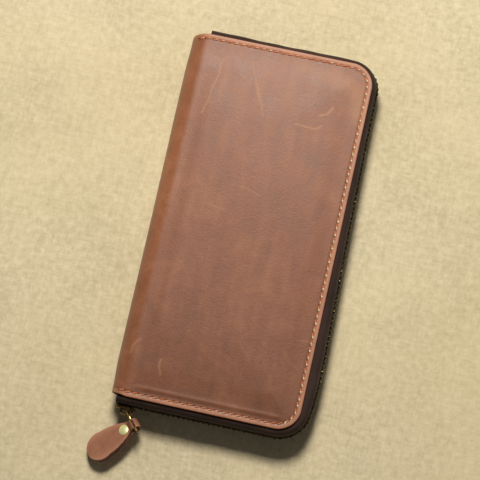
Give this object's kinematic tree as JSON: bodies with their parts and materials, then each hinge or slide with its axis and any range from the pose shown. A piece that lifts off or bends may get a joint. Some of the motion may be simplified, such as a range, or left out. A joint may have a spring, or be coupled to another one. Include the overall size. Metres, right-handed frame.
{
  "type": "zip-around long wallet",
  "caption": "Long leather clutch wallet that opens like a book, closed by a zip round three sides with a ring and leather pull tab.",
  "frame": {"origin": "centre of the back cover's flat outer face, which the closed wallet lies on", "axes": "+X from the spine to the opening side, +Y along the covers away from the closed slider, +Z through the thickness from the back cover to the front cover"},
  "size_m": [0.1093, 0.2327, 0.025],
  "materials": {
    "cover_leather": "waxed pull-up leather, soft sheen, scuffed",
    "tab_leather": "waxed pull-up leather with dark burnished cut edges",
    "inner_leather": "smooth thin leather",
    "lining": "plain woven lining",
    "board": "matt fibre board",
    "zip_tape": "herringbone woven tape",
    "zip_coil": "nylon coil",
    "antique_brass": "dark antiqued",
    "ring_brass": "lightly tarnished",
    "rivet_brass": "bright pale polished"
  },
  "bodies": {
    "back": {"back_cover_leather": "cover_leather", "back_stiffener": "board", "back_zip_tape": "zip_tape", "back_zip_teeth": "antique_brass", "back_top_stop": "antique_brass", "zip_bottom_stop": "antique_brass", "back_lining": "lining", "back_card_pocket_lower_1": "inner_leather", "back_card_pocket_lower_2": "inner_leather", "back_card_pocket_lower_3": "inner_leather", "back_card_pocket_upper_1": "inner_leather", "back_card_pocket_upper_2": "inner_leather", "back_card_pocket_upper_3": "inner_leather"},
    "spine": {"spine_leather": "cover_leather", "spine_lining": "lining"},
    "front": {"front_cover_leather": "cover_leather", "front_stiffener": "board", "front_zip_tape": "zip_tape", "front_zip_teeth": "antique_brass", "front_top_stop": "antique_brass", "front_lining": "lining", "front_card_pocket_lower_1": "inner_leather", "front_card_pocket_lower_2": "inner_leather", "front_card_pocket_lower_3": "inner_leather", "front_card_pocket_upper_1": "inner_leather", "front_card_pocket_upper_2": "inner_leather", "front_card_pocket_upper_3": "inner_leather"},
    "coin_leaf": {"coin_panel_back": "inner_leather", "coin_panel_front": "inner_leather", "coin_panel_edge": "inner_leather", "coin_zip_tape_inner": "zip_tape", "coin_zip_tape_outer": "zip_tape", "coin_zip_coil_inner": "zip_coil", "coin_zip_coil_outer": "zip_coil"},
    "slider": {"zip_slider": "antique_brass"},
    "ring": {"pull_ring": "ring_brass"},
    "tab": {"pull_tab": "tab_leather", "tab_rivet": "rivet_brass"},
    "coin_slider": {"coin_zip_slider": "antique_brass"},
    "coin_puller": {"coin_zip_puller": "ring_brass"}
  },
  "joints": [
    {"name": "spine_fold", "type": "hinge", "parent": "back", "child": "spine", "pos_m": [-0.046, 0, 0.00318], "axis": [0, -1, 0], "range_deg": [0, 85]},
    {"name": "cover_fold", "type": "hinge", "parent": "spine", "child": "front", "pos_m": [-0.046, 0, 0.02182], "axis": [0, -1, 0], "range_deg": [0, 85]},
    {"name": "leaf_turn", "type": "hinge", "parent": "spine", "child": "coin_leaf", "pos_m": [-0.044, 0, 0.0125], "axis": [0, -1, 0], "range_deg": [-42.5, 0]},
    {"name": "zip_slide", "type": "slide", "parent": "back", "child": "slider", "axis": [1, 0, 0], "range_m": [0, 0.071], "deforming": ["back_zip_teeth", "front_zip_teeth", "back_zip_tape", "front_zip_tape"]},
    {"name": "ring_swing", "type": "hinge", "parent": "slider", "child": "ring", "pos_m": [-0.0382, -0.10382, 0.0125], "axis": [0, 0, 1], "range_deg": [-26, 50]},
    {"name": "tab_swing", "type": "hinge", "parent": "ring", "child": "tab", "pos_m": [-0.0338, -0.10926, 0.01027], "axis": [-0.5704, 0.7043, -0.4226], "range_deg": [-80, 45]},
    {"name": "coin_zip_slide", "type": "slide", "parent": "coin_leaf", "child": "coin_slider", "axis": [0, -1, 0], "range_m": [0, 0.145], "deforming": ["coin_zip_coil_inner", "coin_zip_coil_outer"]},
    {"name": "coin_pull_lift", "type": "hinge", "parent": "coin_slider", "child": "coin_puller", "pos_m": [0.0311, 0.0736, 0.0155], "axis": [-1, 0, 0], "range_deg": [0, 9]}
  ],
  "couplings": [
    {"joint": "cover_fold", "follows": "spine_fold", "ratio": 1},
    {"joint": "leaf_turn", "follows": "spine_fold", "ratio": -0.5}
  ]
}
